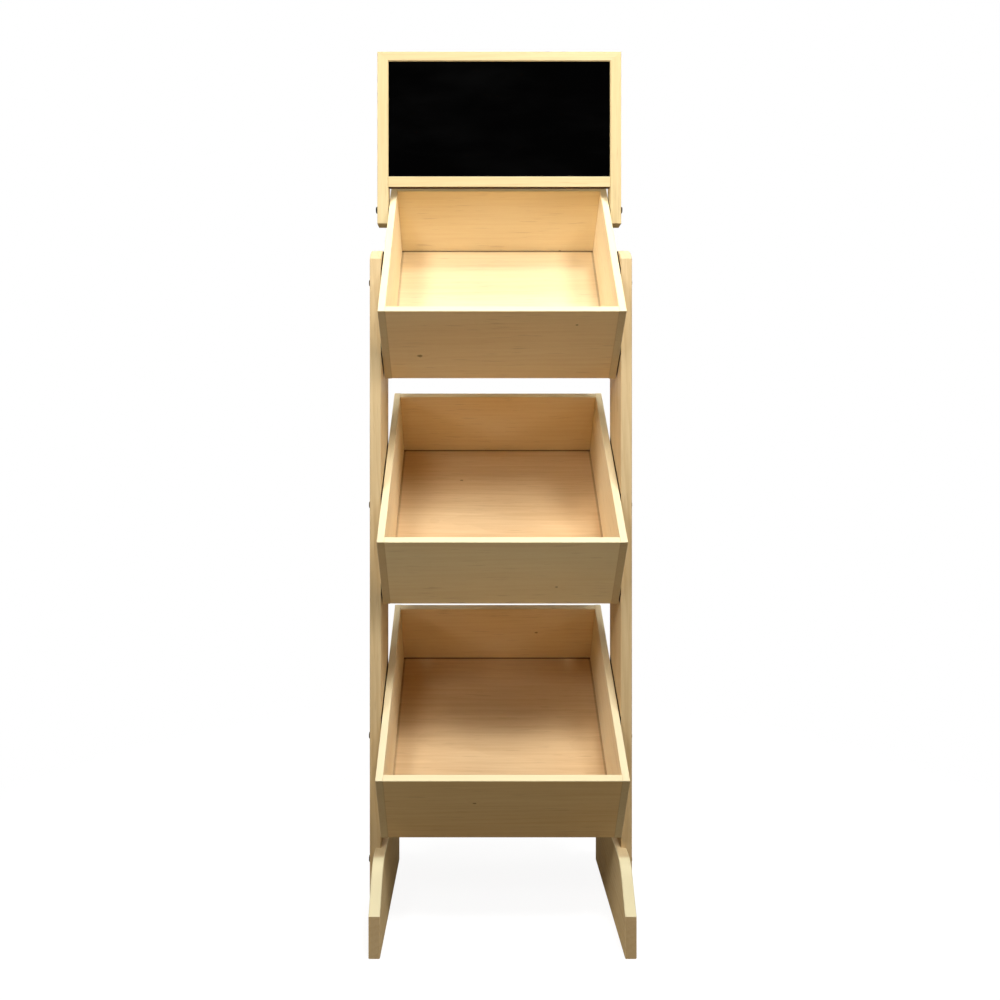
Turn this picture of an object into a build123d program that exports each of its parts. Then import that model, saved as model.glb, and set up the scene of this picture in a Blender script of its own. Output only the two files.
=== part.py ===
from build123d import *
import os
from dataclasses import dataclass
from math import cos, radians, sin

# A display rack in pale wood. Two posts stand in a pair of feet and hold three open bins
# between them, each tipped forward, and a framed chalkboard stands above the top bin.
# It rests on z = 0 and faces -Y. While it is drawn, y = 0 is the front of the posts.
# Sizes are in millimetres.

# bins
bin_width = 398
bin_height = 150
wall_thickness = 12
floor_thickness = 9
floor_lift = 8
floor_groove = 5
groove_play = 0.2
rim_round = 1.2
bin_chamfer = 0.8

# each bin's depth along its rim, how far it tips forward in degrees, the height of its screws
# (for the top bin, how far they are below the posts' tops), and where the front screw meets
# its side: back from the front face and down from the rim
top_bin_depth = 350
top_bin_tilt = 50
top_screw_drop = 59
top_screw_back = 112
top_screw_down = 33

middle_bin_depth = 395
middle_bin_tilt = 41
middle_screw_height = 705
middle_screw_back = 118
middle_screw_down = 31

lower_bin_depth = 395
lower_bin_tilt = 34
lower_screw_height = 312
lower_screw_back = 124
lower_screw_down = 46

# posts
post_gap = 2
post_thickness = 19
post_depth = 120
post_height = 1142
post_top_run = 48
post_top_drop = 23
board_chamfer = 1

# feet
foot_thickness = 18
foot_housing_depth = 9
foot_housing_play = 0.2
foot_front_reach = 97
foot_back_reach = 123
foot_height = 131
foot_end_height = 66
foot_slope_run = 51
foot_crest_radius = 50

# header
header_gap = 1
header_height = 244
header_leg_length = 66
stile_width = 20
stile_depth = 30
top_rail_height = 17
lower_rail_height = 19
lower_rail_depth = 12
tenon_length = 8
tenon_shoulder = 3
tenon_play = 0.1
chalkboard_thickness = 5
chalkboard_setback = 3
frame_groove = 5
frame_chamfer = 1.5
header_round = 1

# where the header's screw meets the top bin's side, from its back end and down from its rim,
# and how far it is above the leg's end
header_screw_back = 57
header_screw_down = 10.5
header_screw_rise = 28

# screws, and how deep they go into a bin's side or a foot
screw_diameter = 6
screw_hole_diameter = 6.6
screw_head_diameter = 12
screw_head_height = 4
bin_screw_bite = 10
foot_screw_bite = 7.5
pilot_hole_diameter = 6.1
pilot_hole_spare = 0.5
screw_edge = 25
foot_screw_height = 102

half_width = bin_width / 2
post_inner = half_width + post_gap
post_outer = post_inner + post_thickness
header_inner = half_width + header_gap
header_outer = header_inner + stile_width


@dataclass
class Bin:
    depth: float
    tilt: float
    screw_height: float
    screw_back: float
    screw_down: float

    # the bin is drawn with its rim level at z = 0 and its front at y = 0, then put here
    def place(self):
        lean = radians(self.tilt)
        front = screw_edge - self.screw_back * cos(lean) - self.screw_down * sin(lean)
        rim = self.screw_height - self.screw_back * sin(lean) + self.screw_down * cos(lean)
        return Pos(0, front, rim) * Rot(self.tilt, 0, 0)


top_screw_height = post_height - top_screw_drop
top_bin = Bin(top_bin_depth, top_bin_tilt, top_screw_height, top_screw_back, top_screw_down)
middle_bin = Bin(
    middle_bin_depth, middle_bin_tilt, middle_screw_height, middle_screw_back, middle_screw_down
)
lower_bin = Bin(lower_bin_depth, lower_bin_tilt, lower_screw_height, lower_screw_back, lower_screw_down)
bins = {"top_bin": top_bin, "middle_bin": middle_bin, "lower_bin": lower_bin}


def left_hand(right):
    return mirror(right, about=Plane.YZ)


# a block between two corners
def block(low, high):
    size = [b - a for a, b in zip(low, high)]
    return Pos(*low) * Box(*size, align=(Align.MIN, Align.MIN, Align.MIN))


# a round bar along X, from one side to the other
def bar_along_x(diameter, start, end, y, z):
    middle = Pos((start + end) / 2, y, z)
    return middle * Rot(0, 90, 0) * Cylinder(diameter / 2, abs(end - start))


# a board cut to an outline in the plane of Y and Z, from x = start outwards
def board_from_side(outline, start, thickness):
    return Pos(start, 0, 0) * extrude(Plane.YZ * outline, thickness)


# takes the sharpness off the edges that run round both faces of such a board
def ease_faces(board):
    return chamfer(board.faces().filter_by(Axis.X).edges(), board_chamfer)


# the places, as Y and Z, of a pair of screws in a post
def screw_pair(height):
    return [(screw_edge, height), (post_depth - screw_edge, height)]


def post_right():
    front = (0, post_height - post_top_drop)
    front_crest = (post_top_run, post_height)
    back_crest = (post_depth - post_top_run, post_height)
    back = (post_depth, post_height - post_top_drop)
    outline = make_face([
        Line((0, 0), front),
        TangentArc(front_crest, front, tangent=(-1, 0)),
        Line(front_crest, back_crest),
        TangentArc(back_crest, back, tangent=(1, 0)),
        Line(back, (post_depth, 0)),
        Line((post_depth, 0), (0, 0)),
    ])
    post = ease_faces(board_from_side(outline, post_inner, post_thickness))
    heights = [each.screw_height for each in bins.values()] + [foot_screw_height]
    for height in heights:
        for y, z in screw_pair(height):
            post -= bar_along_x(screw_hole_diameter, post_inner, post_outer, y, z)
    return post


foot_inner = post_inner - foot_thickness + foot_housing_depth


# the foot laps over the post's inner face, and its housing takes half of its thickness
def foot_right():
    front = -foot_front_reach
    back = post_depth + foot_back_reach
    outline = make_face(Polyline(
        (front, 0),
        (back, 0),
        (back, foot_end_height),
        (back - foot_slope_run, foot_height),
        (front + foot_slope_run, foot_height),
        (front, foot_end_height),
        close=True,
    ))
    crest = outline.vertices().group_by(Axis.Y)[-1]
    outline = fillet(crest, foot_crest_radius)
    foot = ease_faces(board_from_side(outline, foot_inner, foot_thickness))
    foot -= block(
        (post_inner, -foot_housing_play, 0),
        (post_inner + foot_thickness, post_depth + foot_housing_play, foot_height),
    )
    for y, z in screw_pair(foot_screw_height):
        foot -= pilot_hole(post_inner, foot_screw_bite, y, z)
    return foot


# a hole into a piece whose outer face is at x = face
def pilot_hole(face, bite, y, z):
    return bar_along_x(pilot_hole_diameter, face, face - bite - pilot_hole_spare, y, z)


# a screw whose head rests at x = seat and whose point is at x = point
def screw_right(seat, point, y, z):
    head = bar_along_x(screw_head_diameter, seat, seat + screw_head_height, y, z)
    return head + bar_along_x(screw_diameter, point, seat, y, z)


# screws at the same places on both sides of the rack, as separate solids
def screws(seat, point, places):
    right = [screw_right(seat, point, y, z) for y, z in places]
    return Compound([*right, *[left_hand(screw) for screw in right]])


floor_under = floor_lift - bin_height
inner_width = bin_width - 2 * wall_thickness


# a slab under the rim that reaches into the walls by the given depth all round
def floor_slab(each, reach, thickness):
    return block(
        (-inner_width / 2 - reach, wall_thickness - reach, floor_under),
        (inner_width / 2 + reach, each.depth - wall_thickness + reach, floor_under + thickness),
    )


def floor_slot(each):
    return floor_slab(each, floor_groove, floor_thickness + groove_play)


def bin_floor(each):
    return each.place() * floor_slab(each, floor_groove - groove_play, floor_thickness)


# rounds a wall's rim and takes the sharpness off its lower edges, before it is put in its place
def ease_rim(wall, along):
    levels = wall.edges().filter_by(along).group_by(Axis.Z)
    wall = chamfer(levels[0], bin_chamfer)
    return fillet(wall.edges().filter_by(along).group_by(Axis.Z)[-1], rim_round)


def bin_side_right(each, screw_places):
    side = block((inner_width / 2, 0, -bin_height), (half_width, each.depth, 0))
    side = chamfer(side.edges().filter_by(Axis.Z).group_by(Axis.X)[-1], bin_chamfer)
    side = ease_rim(side, Axis.Y)
    side = each.place() * (side - floor_slot(each))
    for y, z in screw_places:
        side -= pilot_hole(half_width, bin_screw_bite, y, z)
    return side


# front and back stand between the sides
def bin_end(each, outer):
    inner = outer + wall_thickness if outer == 0 else outer - wall_thickness
    end = block(
        (-inner_width / 2, min(outer, inner), -bin_height),
        (inner_width / 2, max(outer, inner), 0),
    )
    return each.place() * (ease_rim(end, Axis.X) - floor_slot(each))


# where the header's screw goes, found from its place on the top bin's side
header_screw = top_bin.place() * Pos(0, top_bin_depth - header_screw_back, -header_screw_down)
header_screw_y = header_screw.position.Y
header_screw_z = header_screw.position.Z
header_front = header_screw_y - stile_depth / 2
leg_end = header_screw_z - header_screw_rise
rail_under = leg_end + header_leg_length
header_top = rail_under + header_height
opening_low = rail_under + lower_rail_height
opening_high = header_top - top_rail_height


# a strip cut to an outline in the plane of X and Z, with its front on the header's front
def strip_from_front(corners, depth):
    outline = make_face(Polyline(*corners, close=True))
    face = Plane(origin=(0, header_front, 0), x_dir=(1, 0, 0), z_dir=(0, -1, 0)) * outline
    return extrude(face, -depth)


# the edge of a solid that passes nearest to a point
def nearest_edge(solid, x, y, z):
    return solid.edges().sort_by_distance((x, y, z))[0]


# the board's space in the frame, which reaches into the frame by the given depth all round
def board_slab(reach, thickness):
    front = header_front + chalkboard_setback
    return block(
        (-header_inner - reach, front, opening_low - reach),
        (header_inner + reach, front + thickness, opening_high + reach),
    )


def board_slot():
    return board_slab(frame_groove, chalkboard_thickness + groove_play)


def chalkboard():
    return board_slab(frame_groove - groove_play, chalkboard_thickness)


def tenon(play):
    low = rail_under + tenon_shoulder
    high = opening_low - frame_groove - play
    return block(
        (-header_inner - tenon_length + play, header_front + tenon_shoulder + play, low + play),
        (header_inner + tenon_length - play, header_front + lower_rail_depth - tenon_shoulder - play, high),
    )


def stile_right():
    stile = strip_from_front([
        (header_inner, leg_end),
        (header_outer, leg_end),
        (header_outer, header_top),
        (header_inner, opening_high),
    ], stile_depth)
    middle = (leg_end + opening_high) / 2
    stile = fillet(stile.edges().filter_by(Axis.Z).group_by(Axis.X)[-1], header_round)
    stile = chamfer(nearest_edge(stile, header_inner, header_front, middle), frame_chamfer)
    stile -= board_slot()
    stile -= tenon(0)
    return stile - bar_along_x(screw_hole_diameter, header_inner, header_outer, header_screw_y, header_screw_z)


# its ends are mitred to the stiles
def top_rail():
    rail = strip_from_front([
        (-header_inner, opening_high),
        (header_inner, opening_high),
        (header_outer, header_top),
        (-header_outer, header_top),
    ], stile_depth)
    rail = fillet(rail.edges().filter_by(Axis.X).group_by(Axis.Z)[-1], header_round)
    rail = chamfer(nearest_edge(rail, 0, header_front, opening_high), frame_chamfer)
    return rail - board_slot()


def lower_rail():
    rail = block(
        (-header_inner, header_front, rail_under),
        (header_inner, header_front + lower_rail_depth, opening_low),
    )
    rail = chamfer(nearest_edge(rail, 0, header_front, opening_low), frame_chamfer)
    return rail + tenon(tenon_play) - board_slot()


# every piece under its own name
pieces = {
    "right_post": post_right(),
    "right_foot": foot_right(),
    "right_stile": stile_right(),
    "top_rail": top_rail(),
    "lower_rail": lower_rail(),
    "chalkboard": chalkboard(),
}
for name in ["post", "foot", "stile"]:
    pieces["left_" + name] = left_hand(pieces["right_" + name])

header_place = [(header_screw_y, header_screw_z)]
bin_screw_point = half_width - bin_screw_bite
for name, each in bins.items():
    places = screw_pair(each.screw_height)
    side_places = places + (header_place if each is top_bin else [])
    pieces[name + "_front"] = bin_end(each, 0)
    pieces[name + "_back"] = bin_end(each, each.depth)
    pieces[name + "_right_side"] = bin_side_right(each, side_places)
    pieces[name + "_left_side"] = left_hand(pieces[name + "_right_side"])
    pieces[name + "_floor"] = bin_floor(each)
    pieces[name + "_screws"] = screws(post_outer, bin_screw_point, places)

foot_screw_point = post_inner - foot_screw_bite
pieces["foot_screws"] = screws(post_outer, foot_screw_point, screw_pair(foot_screw_height))
pieces["header_screws"] = screws(header_outer, bin_screw_point, header_place)

# the finished rack's origin is on the floor, at the middle of its footprint
reaches = [piece.bounding_box() for piece in pieces.values()]
middle = (min(reach.min.Y for reach in reaches) + max(reach.max.Y for reach in reaches)) / 2

os.makedirs("parts", exist_ok=True)
for name, piece in pieces.items():
    export_step(Pos(0, -middle, 0) * piece, f"parts/{name}.step")
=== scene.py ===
import bmesh
import bpy
from math import cos, pi, radians, sin
from mathutils import Euler, Matrix, Vector


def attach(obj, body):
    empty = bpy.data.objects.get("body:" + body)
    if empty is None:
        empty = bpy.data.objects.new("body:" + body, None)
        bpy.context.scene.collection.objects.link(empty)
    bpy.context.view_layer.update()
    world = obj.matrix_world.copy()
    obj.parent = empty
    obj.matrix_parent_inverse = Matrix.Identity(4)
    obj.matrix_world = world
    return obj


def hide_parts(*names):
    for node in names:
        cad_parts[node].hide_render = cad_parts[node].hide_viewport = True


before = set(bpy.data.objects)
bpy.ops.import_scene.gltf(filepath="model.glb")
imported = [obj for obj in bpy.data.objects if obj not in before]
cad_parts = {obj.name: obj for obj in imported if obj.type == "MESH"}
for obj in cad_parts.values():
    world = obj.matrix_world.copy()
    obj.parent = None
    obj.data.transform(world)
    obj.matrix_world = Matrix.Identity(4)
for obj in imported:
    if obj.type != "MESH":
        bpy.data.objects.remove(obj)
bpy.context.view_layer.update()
print("frame loaded:", len(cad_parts), "nodes")

# metres; +Z up, the bins open towards -Y
millimetre = 0.001


# new objects

def addObject(name, data):
    made = bpy.data.objects.new(name, data)
    bpy.context.scene.collection.objects.link(made)
    return made


def meshObject(name, mesh, material):
    data = bpy.data.meshes.new(name)
    mesh.to_mesh(data)
    mesh.free()
    data.materials.append(material)
    return addObject(name, data)


# camera, as the photograph was taken: level, a little left of the middle
cameraSet = {
    "place": (-0.0389, -1.5573, 0.7781),
    "lens": 31.19,
    "sensor": 36,
    "shift": (0.0223, -0.0381),
    "nearest": 0.05,
}


def makeCamera(settings):
    camera = bpy.data.cameras.new("camera")
    camera.lens = settings["lens"]
    camera.sensor_width = settings["sensor"]
    camera.shift_x, camera.shift_y = settings["shift"]
    camera.clip_start = settings["nearest"]
    cameraObject = addObject("camera", camera)
    cameraObject.location = settings["place"]
    cameraObject.rotation_euler = (pi / 2, 0, 0)
    bpy.context.scene.camera = cameraObject


makeCamera(cameraSet)


# node helpers

def plug(tree, socket, value):
    if isinstance(value, bpy.types.NodeSocket):
        tree.links.new(value, socket)
    else:
        socket.default_value = value


def addNode(tree, kind, inputs=None, **settings):
    node = tree.nodes.new(kind)
    for name, value in settings.items():
        setattr(node, name, value)
    for name, value in (inputs or {}).items():
        plug(tree, node.inputs[name], value)
    return node


def mathNode(tree, operation, first, second, clamp=False):
    node = addNode(tree, "ShaderNodeMath", operation=operation, use_clamp=clamp)
    plug(tree, node.inputs[0], first)
    plug(tree, node.inputs[1], second)
    return node.outputs[0]


def vectorNode(tree, operation, first, second=None):
    node = addNode(tree, "ShaderNodeVectorMath", operation=operation)
    plug(tree, node.inputs[0], first)
    if second is not None:
        plug(tree, node.inputs[1], second)
    return node.outputs["Value" if operation in ("LENGTH", "DOT_PRODUCT") else "Vector"]


def splitVector(tree, vector):
    return addNode(tree, "ShaderNodeSeparateXYZ", {"Vector": vector}).outputs


# a smooth step; with low above high it falls
def ramp(tree, value, low, high, outLow=0.0, outHigh=1.0):
    node = addNode(tree, "ShaderNodeMapRange", {
        "Value": value, "From Min": low, "From Max": high, "To Min": outLow, "To Max": outHigh,
    }, interpolation_type="SMOOTHSTEP")
    return node.outputs["Result"]


def mixColours(tree, factor, first, second, blend="MIX"):
    node = addNode(tree, "ShaderNodeMix", data_type="RGBA", blend_type=blend)
    plug(tree, node.inputs[0], factor)
    plug(tree, node.inputs[6], first)
    plug(tree, node.inputs[7], second)
    return node.outputs[2]


# lays a tone over a colour by the given share, where the mask is
def layTone(tree, colour, mask, share, tone):
    return mixColours(tree, mathNode(tree, "MULTIPLY", mask, share), colour, tone)


def mixShaders(tree, factor, first, second):
    node = addNode(tree, "ShaderNodeMixShader")
    plug(tree, node.inputs[0], factor)
    plug(tree, node.inputs[1], first)
    plug(tree, node.inputs[2], second)
    return node.outputs[0]


def noise(tree, vector, seed, scale, detail, roughness=0.5):
    node = addNode(tree, "ShaderNodeTexNoise", {
        "Vector": vector, "W": seed, "Scale": scale, "Detail": detail, "Roughness": roughness,
    }, noise_dimensions="4D")
    return node.outputs[0]


# noise that is stretched by its own scale along each axis
def stretchedNoise(tree, vector, seed, layer):
    stretched = vectorNode(tree, "MULTIPLY", vector, layer["scale"])
    return noise(tree, stretched, seed, 1, layer["detail"], layer.get("roughness", 0.5))


def newGroup(name, inputs, outputs):
    group = bpy.data.node_groups.new(name, "ShaderNodeTree")
    for label, kind in inputs:
        group.interface.new_socket(name=label, in_out="INPUT", socket_type="NodeSocket" + kind)
    for label, kind in outputs:
        group.interface.new_socket(name=label, in_out="OUTPUT", socket_type="NodeSocket" + kind)
    start = group.nodes.new("NodeGroupInput")
    end = group.nodes.new("NodeGroupOutput")
    return group, start.outputs, end.inputs


def groupNode(tree, group, inputs):
    return addNode(tree, "ShaderNodeGroup", inputs, node_tree=group).outputs


def newMaterial(name):
    material = bpy.data.materials.new(name)
    material.use_nodes = True
    tree = material.node_tree
    return material, tree, tree.nodes["Principled BSDF"]


def finishSurface(tree, surface, colour, roughness, height, settings):
    bump = addNode(tree, "ShaderNodeBump", {
        "Strength": settings["bump"], "Distance": settings["bumpDepth"], "Height": height,
    })
    plug(tree, surface.inputs["Base Color"], colour)
    plug(tree, surface.inputs["Roughness"], roughness)
    plug(tree, surface.inputs["Normal"], bump.outputs[0])
    surface.inputs["Specular IOR Level"].default_value = settings["specular"]


def dress(node, material):
    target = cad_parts[node]
    target.data.materials.clear()
    target.data.materials.append(material)


# how the grain is drawn; a layer's scale is along, across and through the board
grainSet = {
    "wander": {"scale": (1.4, 5, 5), "detail": 1},
    "patches": {"scale": (3.5, 12, 12), "detail": 2, "limits": (0.3, 0.7), "share": 0.24},
    "bands": {"scale": (1, 36, 36), "detail": 2, "limits": (0.3, 0.7), "share": 0.13},
    "fibres": {"scale": (6, 220, 220), "detail": 3, "roughness": 0.65, "limits": (0.28, 0.74)},
    "dashes": {"scale": (21, 340, 340), "detail": 1, "limits": (0.63, 0.74), "share": 0.19},
    "warmth": {"scale": (1.5, 7, 7), "detail": 1, "limits": (0.3, 0.7)},
    "wanderReach": 0.02,
    "swellReach": 0.004,
    "heartPlace": (0, 0.02, 0.07),
    "heartLean": (0, radians(2.5), radians(1.5)),
    "rings": {"Scale": 30, "Distortion": 2.2, "Detail": 2, "Detail Scale": 0.6, "Detail Roughness": 0.5},
    "ringLimits": (0.3, 1.0),
    "dashTone": (0.36, 0.2, 0.09, 1),
    "warmTone": (1, 0.955, 0.9, 1),
    "warmSeed": 3.1,
    "fibreHeight": 0.5,
    "glossLimits": (0.25, 0.75),
    "roughness": (0.46, 0.6),
}


# pale softwood, its grain along X: soft bands, faint growth rings, fine fibres and short dark dashes
def makeWoodGroup(settings):
    group, given, out = newGroup("woodGrain", [
        ("Vector", "Vector"), ("Seed", "Float"), ("Pale", "Color"), ("Deep", "Color"),
        ("Figure", "Float"), ("Fibre", "Float"), ("Swell", "Float"),
    ], [("Color", "Color"), ("Height", "Float"), ("Roughness", "Float")])
    vector, seed = given["Vector"], given["Seed"]

    # the fibres wander a few millimetres from straight, and swell round the knots
    wander = mathNode(group, "SUBTRACT", stretchedNoise(group, vector, seed, settings["wander"]), 0.5)
    drift = mathNode(group, "ADD", mathNode(group, "MULTIPLY", wander, settings["wanderReach"]),
                     mathNode(group, "MULTIPLY", given["Swell"], settings["swellReach"]))
    sideways = addNode(group, "ShaderNodeCombineXYZ", {"Y": drift, "Z": drift}).outputs[0]
    bent = vectorNode(group, "ADD", vector, sideways)

    # growth rings round a heart that lies below the board and leans a little along it
    heart = addNode(group, "ShaderNodeMapping", {
        "Vector": bent, "Location": settings["heartPlace"], "Rotation": settings["heartLean"],
    }).outputs[0]
    rings = addNode(group, "ShaderNodeTexWave", {
        "Vector": heart, "Phase Offset": seed, **settings["rings"],
    }, wave_type="RINGS", rings_direction="X", wave_profile="SAW").outputs["Fac"]
    fibres = stretchedNoise(group, bent, seed, settings["fibres"])
    dashes = stretchedNoise(group, bent, seed, settings["dashes"])
    dashes = ramp(group, dashes, *settings["dashes"]["limits"])

    ringPart = mathNode(group, "MULTIPLY", ramp(group, rings, *settings["ringLimits"]), given["Figure"])
    fibreLines = ramp(group, fibres, *settings["fibres"]["limits"])
    fibrePart = mathNode(group, "MULTIPLY", fibreLines, given["Fibre"])
    broadParts = []
    for layer in [settings["bands"], settings["patches"]]:
        lines = ramp(group, stretchedNoise(group, bent, seed, layer), *layer["limits"])
        broadParts.append(mathNode(group, "MULTIPLY", lines, layer["share"]))
    tone = mathNode(group, "ADD", mathNode(group, "ADD", ringPart, broadParts[0]),
                    mathNode(group, "ADD", fibrePart, broadParts[1]), clamp=True)
    colour = mixColours(group, tone, given["Pale"], given["Deep"])
    warmSeed = mathNode(group, "ADD", seed, settings["warmSeed"])
    warmth = stretchedNoise(group, bent, warmSeed, settings["warmth"])
    warmth = ramp(group, warmth, *settings["warmth"]["limits"])
    colour = mixColours(group, warmth, colour, settings["warmTone"], "MULTIPLY")
    colour = layTone(group, colour, dashes, settings["dashes"]["share"], settings["dashTone"])

    raised = mathNode(group, "MULTIPLY", fibres, settings["fibreHeight"])
    plug(group, out["Color"], colour)
    plug(group, out["Height"], mathNode(group, "SUBTRACT", raised, dashes))
    plug(group, out["Roughness"], ramp(group, fibres, *settings["glossLimits"], *settings["roughness"]))
    return group


# a knot is drawn out along the grain; its heart and the swell round it fade over shares of its radius
knotForm = {"stretch": (0.6, 1, 1), "ragScale": 420, "ragDetail": 2, "heart": (1.1, 0.5), "swell": (6, 0.5)}


# a small knot: its dark heart with a ragged rim, and the reach over which the fibres swell round it
def makeKnotGroup(settings):
    group, given, out = newGroup("woodKnot", [
        ("Vector", "Vector"), ("Place", "Vector"), ("Radius", "Float"),
    ], [("Mask", "Float"), ("Swell", "Float")])
    away = vectorNode(group, "SUBTRACT", given["Vector"], given["Place"])
    reach = vectorNode(group, "LENGTH", vectorNode(group, "MULTIPLY", away, settings["stretch"]))
    rag = noise(group, given["Vector"], 1.0, settings["ragScale"], settings["ragDetail"])
    ragged = mathNode(group, "MULTIPLY", reach, mathNode(group, "ADD", rag, 0.5))
    share = mathNode(group, "DIVIDE", ragged, given["Radius"])
    plug(group, out["Mask"], ramp(group, share, *settings["heart"]))
    plug(group, out["Swell"], ramp(group, share, *settings["swell"]))
    return group


# how deep a point lies inside a box round the origin, from each pair of its faces
def boxDepths(tree, given):
    away = vectorNode(tree, "ABSOLUTE", given["Vector"])
    return splitVector(tree, vectorNode(tree, "SUBTRACT", given["Half"], away))


# a board's worn edges fade over shares of their width, its sawn ends over a depth
boardForm = {
    "wear": {"scale": (60, 60, 60), "detail": 2, "limits": (1, 0.2)},
    "ends": (0.4 * millimetre, 0.1 * millimetre),
}


# masks of a board from its own middle: worn edges and corners, and the sawn ends
def makeBoardGroup(settings):
    group, given, out = newGroup("boardForm", [
        ("Vector", "Vector"), ("Half", "Vector"), ("Width", "Float"), ("Seed", "Float"),
    ], [("Edges", "Float"), ("Ends", "Float")])
    depth = boxDepths(group, given)
    lower = mathNode(group, "MINIMUM", depth[0], depth[1])
    upper = mathNode(group, "MAXIMUM", depth[0], depth[1])
    second = mathNode(group, "MAXIMUM", lower, mathNode(group, "MINIMUM", upper, depth[2]))
    wear = settings["wear"]
    uneven = mathNode(group, "ADD", stretchedNoise(group, given["Vector"], given["Seed"], wear), 0.5)
    share = mathNode(group, "DIVIDE", second, mathNode(group, "MULTIPLY", given["Width"], uneven))
    plug(group, out["Edges"], ramp(group, share, *wear["limits"]))
    plug(group, out["Ends"], ramp(group, depth[0], *settings["ends"]))
    return group


# the strength of the dark seam and its painted crease shade at a floor's sides and back; they fade over
# shares of their width
jointShadeForm = {"sides": 0.4, "back": 1.0, "line": (1, 0.55), "corner": (1.3, 0.7)}


# the dark seam where a floor enters its grooves, widened into painted shade along the crease and in the
# corners, strongest at the back
def makeJointShadeGroup(settings):
    group, given, out = newGroup("grooveJointShade", [
        ("Vector", "Vector"), ("Half", "Vector"), ("Inset", "Float"), ("Width", "Float"),
    ], [("Mask", "Float")])
    across = splitVector(group, vectorNode(group, "ABSOLUTE", given["Vector"]))
    along = splitVector(group, given["Vector"])
    half = splitVector(group, given["Half"])
    gaps = []
    jointShades = []
    for limit, place, strength in [
        (half[0], across[0], settings["sides"]), (half[1], along[1], settings["back"]),
    ]:
        gap = mathNode(group, "SUBTRACT", mathNode(group, "SUBTRACT", limit, given["Inset"]), place)
        line = ramp(group, mathNode(group, "DIVIDE", gap, given["Width"]), *settings["line"])
        gaps.append(gap)
        jointShades.append(mathNode(group, "MULTIPLY", line, strength))
    corner = mathNode(group, "DIVIDE", mathNode(group, "MAXIMUM", *gaps), given["Width"])
    corner = ramp(group, corner, *settings["corner"])
    plug(group, out["Mask"], mathNode(group, "MAXIMUM", mathNode(group, "MAXIMUM", *jointShades), corner))
    return group


# 1 on faces that look along the given direction, such as rims, crests and slopes; it places the painted
# highlight on faces that look up and the painted shade under the lower rail
def makeFacingGroup():
    group, given, out = newGroup("paintedLightFaces", [
        ("Normal", "Vector"), ("Direction", "Vector"), ("Least", "Float"), ("Most", "Float"),
    ], [("Mask", "Float")])
    facing = vectorNode(group, "DOT_PRODUCT", given["Normal"], given["Direction"])
    plug(group, out["Mask"], ramp(group, facing, given["Least"], given["Most"]))
    return group


# the part of an upright's inner face that lies close behind a bin's side, where little light reaches
def makeGapGroup():
    group, given, out = newGroup("gapShade", [
        ("Vector", "Vector"), ("Half", "Vector"), ("Soft", "Float"),
    ], [("Mask", "Float")])
    depth = boxDepths(group, given)
    least = mathNode(group, "MINIMUM", depth[1], depth[2])
    onFace = mathNode(group, "GREATER_THAN", depth[0], 0.0)
    shade = ramp(group, mathNode(group, "DIVIDE", least, given["Soft"]), 0, 1)
    plug(group, out["Mask"], mathNode(group, "MULTIPLY", shade, onFace))
    return group


woodGroup = makeWoodGroup(grainSet)
knotGroup = makeKnotGroup(knotForm)
boardGroup = makeBoardGroup(boardForm)
jointShadeGroup = makeJointShadeGroup(jointShadeForm)
facingGroup = makeFacingGroup()
gapGroup = makeGapGroup()


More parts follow.
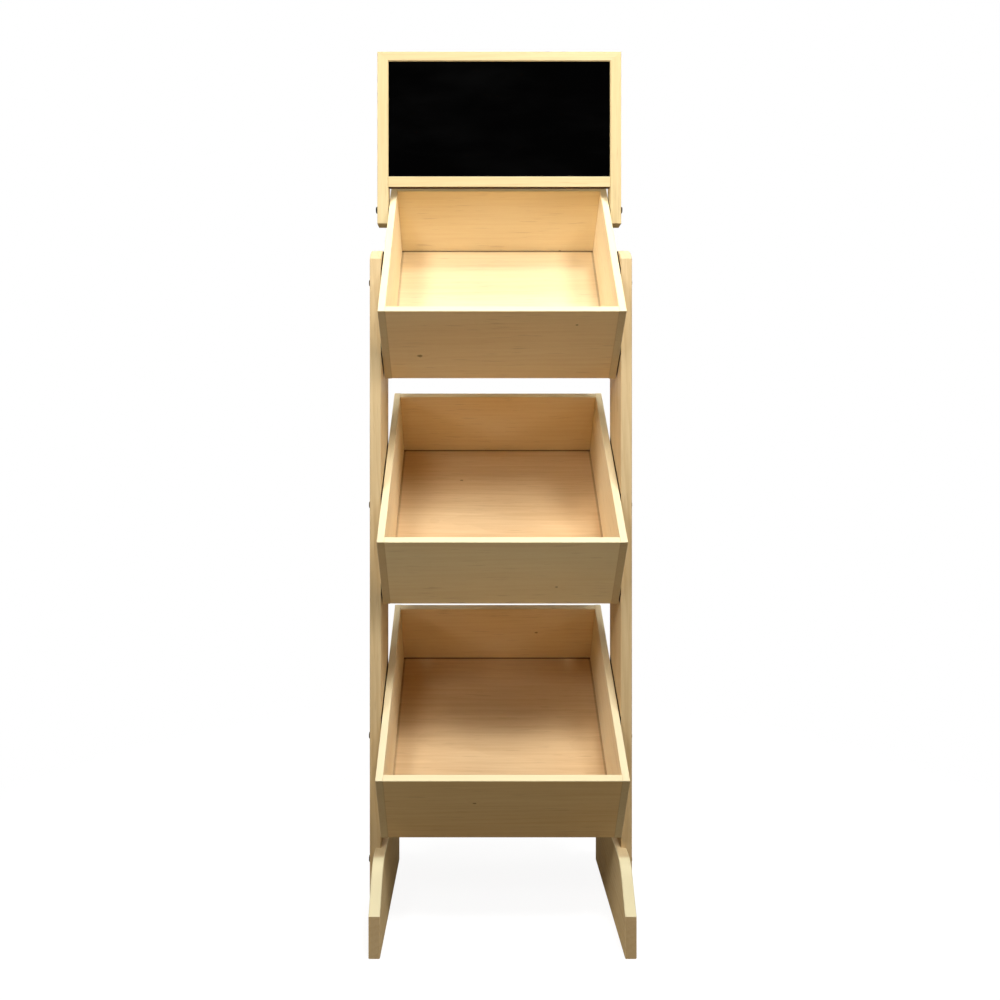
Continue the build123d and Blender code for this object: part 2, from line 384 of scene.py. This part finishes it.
# the woods: pale and deep tones, how far rings and fibres show, how far sawn ends do, and how strong the
# painted highlight is on faces that look up
woodSet = {
    "bin": {"pale": (0.88, 0.67, 0.385, 1), "deep": (0.73, 0.5, 0.25, 1),
            "figure": 0.12, "fibre": 0.36, "ends": 0.55, "paintedHighlight": 0.7},
    # cheek, wall and bed are paler copies of the bin wood, painted light that makes their boards render
    # brighter
    "cheek": {"pale": (0.97, 0.84, 0.57, 1), "deep": (0.86, 0.69, 0.43, 1),
              "figure": 0.1, "fibre": 0.36, "ends": 0.4, "paintedHighlight": 0.5},
    "wall": {"pale": (0.96, 0.77, 0.49, 1), "deep": (0.83, 0.61, 0.35, 1),
             "figure": 0.13, "fibre": 0.34, "ends": 0.3, "paintedHighlight": 0.6},
    "bed": {"pale": (0.94, 0.79, 0.52, 1), "deep": (0.81, 0.62, 0.36, 1),
            "figure": 0.12, "fibre": 0.36, "ends": 0.3},
    "floor": {"pale": (0.84, 0.62, 0.36, 1), "deep": (0.66, 0.44, 0.23, 1),
              "figure": 0.12, "fibre": 0.38, "ends": 0.3},
    "post": {"pale": (0.78, 0.605, 0.345, 1), "deep": (0.62, 0.435, 0.215, 1),
             "figure": 0.24, "fibre": 0.4, "ends": 0.1, "paintedHighlight": 0.2},
    "frame": {"pale": (0.74, 0.61, 0.34, 1), "deep": (0.62, 0.48, 0.25, 1),
              "figure": 0.16, "fibre": 0.34, "ends": 0.2, "paintedHighlight": 0.2},
    "foot": {"pale": (0.9, 0.72, 0.42, 1), "deep": (0.72, 0.52, 0.26, 1),
             "figure": 0.2, "fibre": 0.36, "ends": 0.6, "paintedHighlight": 1},
    "edgeWidth": 1.4 * millimetre,
    "edgeTone": (0.62, 0.42, 0.22, 1),
    "edgeShare": 0.3,
    "endTone": (0.42, 0.28, 0.14, 1),
    "knotTone": (0.22, 0.12, 0.05, 1),
    "knotShare": 0.7,
    # the colour of the dark joint and the painted crease shade beside it
    "jointShadeTone": (0.1, 0.045, 0.018, 1),
    "jointShadeShare": 0.85,
    "seamInset": 4.8 * millimetre,
    "jointShadeWidth": 4.5 * millimetre,
    # the colour of the painted highlight on rims, crests and slopes
    "paintedHighlightTone": (0.98, 0.87, 0.55, 1),
    "rimFacing": (0.2, 0.35),
    "flatFacing": (0.96, 0.995),
    "underFacing": (0.5, 0.8),
    "shadeTone": (0.04, 0.016, 0.006, 1),
    "shadeShare": 0.96,
    "gapSoft": 1.5 * millimetre,
    "gapDepth": 0.4 * millimetre,
    "bump": 0.25,
    "bumpDepth": 0.3 * millimetre,
    "specular": 0.07,
    "seedStep": 7.3,
}


# knots by board: where they lie from its middle, along, across and through the grain, and their radius
def knotAt(along, across, depth, radius):
    return (along * millimetre, across * millimetre, depth * millimetre), radius * millimetre


knotSet = {
    "top_bin_front": [knotAt(-136, -6, -22, 3.2), knotAt(122, -6, 46, 1.6)],
    "top_bin_back": [knotAt(-126, -6, -62, 2.4), knotAt(122, -6, -58, 2.2)],
    "middle_bin_front": [knotAt(92, -6, -32, 1.8)],
    "middle_bin_floor": [knotAt(-70, 95, 4.5, 2.2)],
    "lower_bin_front": [knotAt(-44, -6, 18, 2)],
    "lower_bin_back": [knotAt(76, -6, 12, 2.4)],
    "left_post": [knotAt(-210, 12, 9, 3)],
    "right_post": [knotAt(140, -18, -9, 3.4)],
}


# how far each bin tips forward, in degrees, and each board's wood and grain
binTilts = {"top_bin": 50, "middle_bin": 41, "lower_bin": 34}
binBoards = {
    "front": ("bin", "across"), "back": ("bin", "across"), "left_side": ("cheek", "along"),
    "right_side": ("cheek", "along"), "floor": ("floor", "across"),
}
# boards given a paler copy of the bin wood, so that they render brighter: painted light
paintedPaleBoards = {
    "top_bin_back": "cheek", "top_bin_floor": "bed", "top_bin_front": "wall",
    "middle_bin_front": "cheek", "middle_bin_back": "wall", "lower_bin_back": "wall",
}
standBoards = {
    "post": ("post", "upright"), "foot": ("foot", "along"), "stile": ("frame", "upright"),
}


# a board's own axes: grain along x, tipped about X with its bin
def boardTurn(grain, tilt):
    turns = {"across": Matrix.Identity(3), "along": Euler((0, 0, pi / 2)).to_matrix(),
             "upright": Euler((0, -pi / 2, 0)).to_matrix()}
    return Euler((radians(tilt), 0, 0)).to_matrix() @ turns[grain]


# the board's middle and half size in its own axes
def boardBox(node, turn):
    corners = [turn.transposed() @ vertex.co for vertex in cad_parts[node].data.vertices]
    low = Vector([min(corner[i] for corner in corners) for i in range(3)])
    high = Vector([max(corner[i] for corner in corners) for i in range(3)])
    return (low + high) / 2, (high - low) / 2


# a place on the object, seen from the given middle and in turned axes
def localPlace(tree, place, turn, middle):
    return addNode(tree, "ShaderNodeMapping", {
        "Vector": place, "Location": turn @ middle, "Rotation": turn.to_euler("XYZ"),
    }, vector_type="TEXTURE").outputs[0]


def facingMask(tree, direction, limits):
    normal = addNode(tree, "ShaderNodeNewGeometry").outputs["True Normal"]
    return groupNode(tree, facingGroup, {
        "Normal": normal, "Direction": direction, "Least": limits[0], "Most": limits[1],
    })["Mask"]


# painted highlight on rims, crests and slopes, which look up in the board's own axes; a foot's flat top is
# left out
def paintedHighlightMask(tree, wood, tilt):
    up = Euler((radians(tilt), 0, 0)).to_matrix() @ Vector((0, 0, 1))
    mask = facingMask(tree, up, woodSet["rimFacing"])
    if wood == "foot":
        mask = mathNode(tree, "SUBTRACT", mask, facingMask(tree, up, woodSet["flatFacing"]), clamp=True)
    return mask


# one mask for each bin, on the face of a post or stile that looks at the bins' sides
def gapMasks(tree, node, place):
    face = min(abs(vertex.co.x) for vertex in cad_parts[node].data.vertices)
    masks = []
    for binName, tilt in binTilts.items():
        turn = boardTurn("across", tilt)
        middle, half = boardBox(binName + "_left_side", turn)
        masks.append(groupNode(tree, gapGroup, {
            "Vector": localPlace(tree, place, turn, Vector((0, middle.y, middle.z))),
            "Half": (face + woodSet["gapDepth"], half.y, half.z), "Soft": woodSet["gapSoft"],
        })["Mask"])
    return masks


# where a board lies in deep shade: close to the bins' sides, and under the header's lower rail
def shadeMasks(tree, node, grain, place):
    if grain == "upright":
        return gapMasks(tree, node, place)
    if node == "lower_rail":
        return [facingMask(tree, (0, 0, -1), woodSet["underFacing"])]
    return []


# the floors get no painted highlight; they get the dark seams of their grooves, with painted shade in the
# crease, instead
def woodMaterial(node, wood, grain, tilt, seed):
    material, tree, surface = newMaterial(node + "_wood")
    turn = boardTurn(grain, tilt)
    middle, half = boardBox(node, turn)
    place = addNode(tree, "ShaderNodeTexCoord").outputs["Object"]
    local = localPlace(tree, place, turn, middle)
    tones = woodSet[wood]
    knots = [groupNode(tree, knotGroup, {"Vector": local, "Place": spot, "Radius": radius})
             for spot, radius in knotSet.get(node, [])]
    colour, height, roughness = groupNode(tree, woodGroup, {
        "Vector": local, "Seed": seed, "Pale": tones["pale"], "Deep": tones["deep"],
        "Figure": tones["figure"], "Fibre": tones["fibre"],
        "Swell": knots[0]["Swell"] if knots else 0.0,
    })
    form = groupNode(tree, boardGroup, {
        "Vector": local, "Half": half, "Width": woodSet["edgeWidth"], "Seed": seed,
    })
    colour = layTone(tree, colour, form["Edges"], woodSet["edgeShare"], woodSet["edgeTone"])
    colour = layTone(tree, colour, form["Ends"], tones["ends"], woodSet["endTone"])
    for knot in knots:
        colour = layTone(tree, colour, knot["Mask"], woodSet["knotShare"], woodSet["knotTone"])
    if "paintedHighlight" in tones:
        # paler colour on faces that look up: a painted highlight
        paintedHighlight = paintedHighlightMask(tree, wood, tilt)
        colour = layTone(tree, colour, paintedHighlight, tones["paintedHighlight"], woodSet["paintedHighlightTone"])
    else:
        # the dark joint where the floor enters its grooves, with painted shade along the crease and in the
        # corners
        jointShade = groupNode(tree, jointShadeGroup, {
            "Vector": local, "Half": half, "Inset": woodSet["seamInset"], "Width": woodSet["jointShadeWidth"],
        })["Mask"]
        colour = layTone(tree, colour, jointShade, woodSet["jointShadeShare"], woodSet["jointShadeTone"])
    for shade in shadeMasks(tree, node, grain, place):
        colour = layTone(tree, colour, shade, woodSet["shadeShare"], woodSet["shadeTone"])
    finishSurface(tree, surface, colour, roughness, height, woodSet)
    return material


def dressBoards():
    boards = []
    for binName, tilt in binTilts.items():
        for board, (wood, grain) in binBoards.items():
            node = binName + "_" + board
            boards.append((node, paintedPaleBoards.get(node, wood), grain, tilt))
    for side in ["left", "right"]:
        for board, (wood, grain) in standBoards.items():
            boards.append((side + "_" + board, wood, grain, 0))
    for node in ["top_rail", "lower_rail"]:
        boards.append((node, "frame", "across", 0))
    for order, (node, wood, grain, tilt) in enumerate(boards):
        dress(node, woodMaterial(node, wood, grain, tilt, woodSet["seedStep"] * (order + 1)))


dressBoards()
print("boards dressed")


# matt black writing surface with a faint dusty bloom
chalkSet = {
    "tones": ((0.0006, 0.0006, 0.0006, 1), (0.0018, 0.0018, 0.0018, 1)),
    "toneLimits": (0.4, 0.75),
    "roughness": (0.8, 0.95),
    "glossLimits": (0.3, 0.7),
    "wiped": {"scale": (5, 5, 14), "detail": 4, "roughness": 0.6},
    "wipedSeed": 2.0,
    "gritScale": 1600,
    "gritSeed": 5.0,
    "bump": 0.2,
    "bumpDepth": 0.1 * millimetre,
    "specular": 0,
}


def chalkMaterial(settings):
    material, tree, surface = newMaterial("chalk_black")
    place = addNode(tree, "ShaderNodeTexCoord").outputs["Object"]
    wiped = stretchedNoise(tree, place, settings["wipedSeed"], settings["wiped"])
    grit = noise(tree, place, settings["gritSeed"], settings["gritScale"], 1)
    colour = mixColours(tree, ramp(tree, wiped, *settings["toneLimits"]), *settings["tones"])
    roughness = ramp(tree, wiped, *settings["glossLimits"], *settings["roughness"])
    finishSurface(tree, surface, colour, roughness, grit, settings)
    return material


dress("chalkboard", chalkMaterial(chalkSet))


# black paint on the screws, a little scuffed
screwPaint = {
    "tones": ((0.004, 0.004, 0.004, 1), (0.02, 0.02, 0.02, 1)),
    "toneLimits": (0.55, 0.8),
    "roughness": (0.42, 0.6),
    "glossLimits": (0.3, 0.7),
    "scuffs": {"scale": (400, 400, 400), "detail": 3, "roughness": 0.6},
    "scuffSeed": 1.0,
    "bump": 0.15,
    "bumpDepth": 0.05 * millimetre,
    "specular": 0.1,
}


def screwMaterial(settings):
    material, tree, surface = newMaterial("screw_black")
    place = addNode(tree, "ShaderNodeTexCoord").outputs["Object"]
    scuffs = stretchedNoise(tree, place, settings["scuffSeed"], settings["scuffs"])
    colour = mixColours(tree, ramp(tree, scuffs, *settings["toneLimits"]), *settings["tones"])
    roughness = ramp(tree, scuffs, *settings["glossLimits"], *settings["roughness"])
    finishSurface(tree, surface, colour, roughness, scuffs, settings)
    return material


# screws: domed heads with a hexagon socket, plain shanks, and a thread at the point
screwSet = {
    "headRadius": 6 * millimetre, "headHeight": 4 * millimetre, "sides": 40,
    "domeRound": 2.2 * millimetre, "domeSteps": 5,
    "socketRadius": 2.3 * millimetre, "socketDepth": 2.4 * millimetre,
    "lipShare": 1.15, "lipDepth": 0.2 * millimetre,
    "shankRadius": 3 * millimetre, "coreRadius": 2.35 * millimetre,
    "threadLength": 7 * millimetre, "neckShare": 0.9, "rootShare": 0.97,
    "pitch": 2 * millimetre, "threadStart": 0.3, "turns": 3, "turnSteps": 24,
    "firstSpin": radians(17), "nextSpin": radians(41), "crispAngle": radians(35),
    "spread": 20 * millimetre,
}


def ringAt(mesh, radius, height, sides):
    made = bmesh.ops.create_circle(mesh, segments=sides, radius=radius)
    bmesh.ops.translate(mesh, verts=made["verts"], vec=(0, 0, height))
    return list({edge for vertex in made["verts"] for edge in vertex.link_edges})


def bridgeRings(mesh, rings):
    for low, high in zip(rings, rings[1:]):
        bmesh.ops.bridge_loops(mesh, edges=low + high)
    bmesh.ops.contextual_create(mesh, geom=rings[-1])


# a screw along Z: its head's underside at z = 0, its point at z = -length
def buildScrew(settings, length):
    mesh = bmesh.new()
    radius, top, sides = settings["headRadius"], settings["headHeight"], settings["sides"]
    rounding, steps = settings["domeRound"], settings["domeSteps"]
    head = [ringAt(mesh, settings["shankRadius"], 0, sides), ringAt(mesh, radius, 0, sides)]
    for step in range(steps + 1):
        angle = pi / 2 * step / steps
        head.append(ringAt(
            mesh, radius - rounding * (1 - cos(angle)), top - rounding * (1 - sin(angle)), sides))
    socket = settings["socketRadius"]
    head.append(ringAt(mesh, socket * settings["lipShare"], top, sides))
    head.append(ringAt(mesh, socket, top - settings["lipDepth"], 6))
    head.append(ringAt(mesh, socket, top - settings["socketDepth"], 6))
    bridgeRings(mesh, head)
    core, thread = settings["coreRadius"], settings["threadLength"]
    bridgeRings(mesh, [
        head[0],
        ringAt(mesh, settings["shankRadius"], thread - length, sides),
        ringAt(mesh, core, thread * settings["neckShare"] - length, sides),
        ringAt(mesh, core, -length, sides),
    ])
    addThread(mesh, settings, length)
    bmesh.ops.recalc_face_normals(mesh, faces=mesh.faces)
    return mesh


# one spun profile, whose height is half the pitch
def addThread(mesh, settings, length):
    turns, steps, pitch = settings["turns"], settings["turnSteps"], settings["pitch"]
    root, crest = settings["coreRadius"] * settings["rootShare"], settings["shankRadius"]
    start = pitch * settings["threadStart"] - length
    profile = [(root, start), (crest, start + pitch / 4), (root, start + pitch / 2)]
    face = mesh.faces.new([mesh.verts.new((x, 0, z)) for x, z in profile])
    bmesh.ops.spin(
        mesh, geom=[face], cent=(0, 0, 0), axis=(0, 0, 1), dvec=(0, 0, pitch / steps),
        angle=2 * pi * turns, steps=turns * steps, use_merge=False, use_duplicate=False)


# shading stays crisp at the head's rim and the socket
def smoothFaces(mesh, angle):
    for face in mesh.faces:
        face.smooth = True
    for edge in mesh.edges:
        if len(edge.link_faces) == 2 and edge.calc_face_angle(0) > angle:
            edge.smooth = False


# from the frame's own solids: each screw's side, how far out it ends and starts, and its y and z
def screwPlaces(node, spread):
    groups = {}
    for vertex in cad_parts[node].data.vertices:
        place = vertex.co
        found = None
        for key in groups:
            near = abs(key[1] - place.y) < spread and abs(key[2] - place.z) < spread
            if key[0] == (place.x > 0) and near:
                found = key
        if found is None:
            found = (place.x > 0, place.y, place.z)
            groups[found] = []
        groups[found].append(place)
    places = []
    for key, points in groups.items():
        lows = [min(point[i] for point in points) for i in range(3)]
        highs = [max(point[i] for point in points) for i in range(3)]
        middles = [(low + high) / 2 for low, high in zip(lows, highs)]
        inner, outer = sorted([abs(lows[0]), abs(highs[0])])
        places.append((1 if key[0] else -1, outer, inner, middles[1], middles[2]))
    return places


# one object for each of the frame's sets of screws
def fitScrews(node, settings, material):
    mesh = bmesh.new()
    for turn, (side, outer, inner, y, z) in enumerate(screwPlaces(node, settings["spread"])):
        screw = buildScrew(settings, outer - inner - settings["headHeight"])
        spin = Matrix.Rotation(settings["firstSpin"] + settings["nextSpin"] * turn, 4, "Z")
        aim = Matrix.Rotation(side * pi / 2, 4, "Y")
        move = Matrix.Translation((side * (outer - settings["headHeight"]), y, z))
        bmesh.ops.transform(screw, matrix=move @ aim @ spin, verts=screw.verts)
        smoothFaces(screw, settings["crispAngle"])
        piece = bpy.data.meshes.new("screw")
        screw.to_mesh(piece)
        screw.free()
        mesh.from_mesh(piece)
        bpy.data.meshes.remove(piece)
    screws = meshObject(node + "_set", mesh, material)
    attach(screws, "root")
    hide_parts(node)


screwBlack = screwMaterial(screwPaint)
for node in ["top_bin_screws", "middle_bin_screws", "lower_bin_screws", "foot_screws", "header_screws"]:
    fitScrews(node, screwSet, screwBlack)
print("screws fitted")


# studio: a white floor that keeps the shadow near the rack, white all round, soft lamps
studioSet = {
    "floorSize": 24,
    "floorNear": 0.4,
    "floorFar": 1.3,
    "floorSeen": (0.2, 0.2, 0.2, 1),
    "floorUnlit": (0, 0, 0, 1),
    "floorLift": 0.88,
    "floorBounce": (0.27, 0.23, 0.16, 1),
    "ambient": 0.02,
    "lampAim": (0, 0, 0.9),
}
lampSet = {
    "high": {"place": (0.5, -1.7, 3.4), "size": 0.5, "watts": 40},
    "over": {"place": (0, -0.5, 3.2), "size": 0.4, "watts": 7.5},
    "topRight": {"place": (0.6, -0.85, 1.75), "size": 0.3, "watts": 7.4},
    "topLeft": {"place": (-0.6, -0.85, 1.75), "size": 0.3, "watts": 5.6},
    "lowLeft": {"place": (-0.7, -1.7, 1.8), "size": 0.4, "watts": 6.3},
    "sideLeft": {"place": (-2.2, -1.0, 1.4), "size": 0.6, "watts": 11},
    "sideRight": {"place": (2.2, -1.0, 1.4), "size": 0.6, "watts": 8},
    "above": {"place": (0, 0.9, 4.0), "size": 0.8, "watts": 19},
    "rear": {"place": (0, 2.6, 2.6), "size": 1.0, "watts": 42},
}


# seen by the camera the floor is lit near the rack and plain white further out
def floorMaterial(settings):
    material = bpy.data.materials.new("floor_paint")
    material.use_nodes = True
    tree = material.node_tree
    tree.nodes.clear()
    reach = vectorNode(tree, "LENGTH", addNode(tree, "ShaderNodeTexCoord").outputs["Object"])
    away = ramp(tree, reach, settings["floorNear"], settings["floorFar"])
    seen = addNode(tree, "ShaderNodeBsdfDiffuse", {
        "Color": mixColours(tree, away, settings["floorSeen"], settings["floorUnlit"]),
    })
    lift = addNode(tree, "ShaderNodeEmission", {
        "Strength": ramp(tree, away, 0, 1, settings["floorLift"], 1),
    })
    shown = addNode(tree, "ShaderNodeAddShader")
    plug(tree, shown.inputs[0], seen.outputs[0])
    plug(tree, shown.inputs[1], lift.outputs[0])
    bounce = addNode(tree, "ShaderNodeBsdfDiffuse", {"Color": settings["floorBounce"]})
    rays = addNode(tree, "ShaderNodeLightPath").outputs
    mix = mixShaders(tree, rays["Is Camera Ray"], bounce.outputs[0], shown.outputs[0])
    addNode(tree, "ShaderNodeOutputMaterial", {"Surface": mix})
    return material


def makeFloor(settings):
    mesh = bmesh.new()
    bmesh.ops.create_grid(mesh, x_segments=4, y_segments=4, size=settings["floorSize"] / 2)
    meshObject("floor", mesh, floorMaterial(settings))


# white where the camera or a reflection sees it, and nearly dark as a source of light
def makeWorld(settings):
    world = bpy.data.worlds.new("white_room")
    world.use_nodes = True
    tree = world.node_tree
    tree.nodes.clear()
    rays = addNode(tree, "ShaderNodeLightPath").outputs
    direct = mathNode(tree, "MAXIMUM", rays["Is Camera Ray"], rays["Is Glossy Ray"])
    direct = mathNode(tree, "MAXIMUM", direct, rays["Is Transmission Ray"])
    white = (1, 1, 1, 1)
    dim = addNode(tree, "ShaderNodeBackground", {"Color": white, "Strength": settings["ambient"]})
    full = addNode(tree, "ShaderNodeBackground", {"Color": white, "Strength": 1})
    mix = mixShaders(tree, direct, dim.outputs[0], full.outputs[0])
    addNode(tree, "ShaderNodeOutputWorld", {"Surface": mix})
    bpy.context.scene.world = world


def makeLamp(name, settings, aim):
    lamp = bpy.data.lights.new(name, "AREA")
    lamp.shape = "DISK"
    lamp.size = settings["size"]
    lamp.energy = settings["watts"]
    lampObject = addObject(name, lamp)
    place = Vector(settings["place"])
    lampObject.location = place
    lampObject.visible_camera = False
    lampObject.rotation_euler = (Vector(aim) - place).to_track_quat("-Z", "Y").to_euler()


makeFloor(studioSet)
makeWorld(studioSet)
for name, settings in lampSet.items():
    makeLamp(name + "_lamp", settings, studioSet["lampAim"])
bpy.context.scene.view_settings.view_transform = "Standard"
print("studio ready")
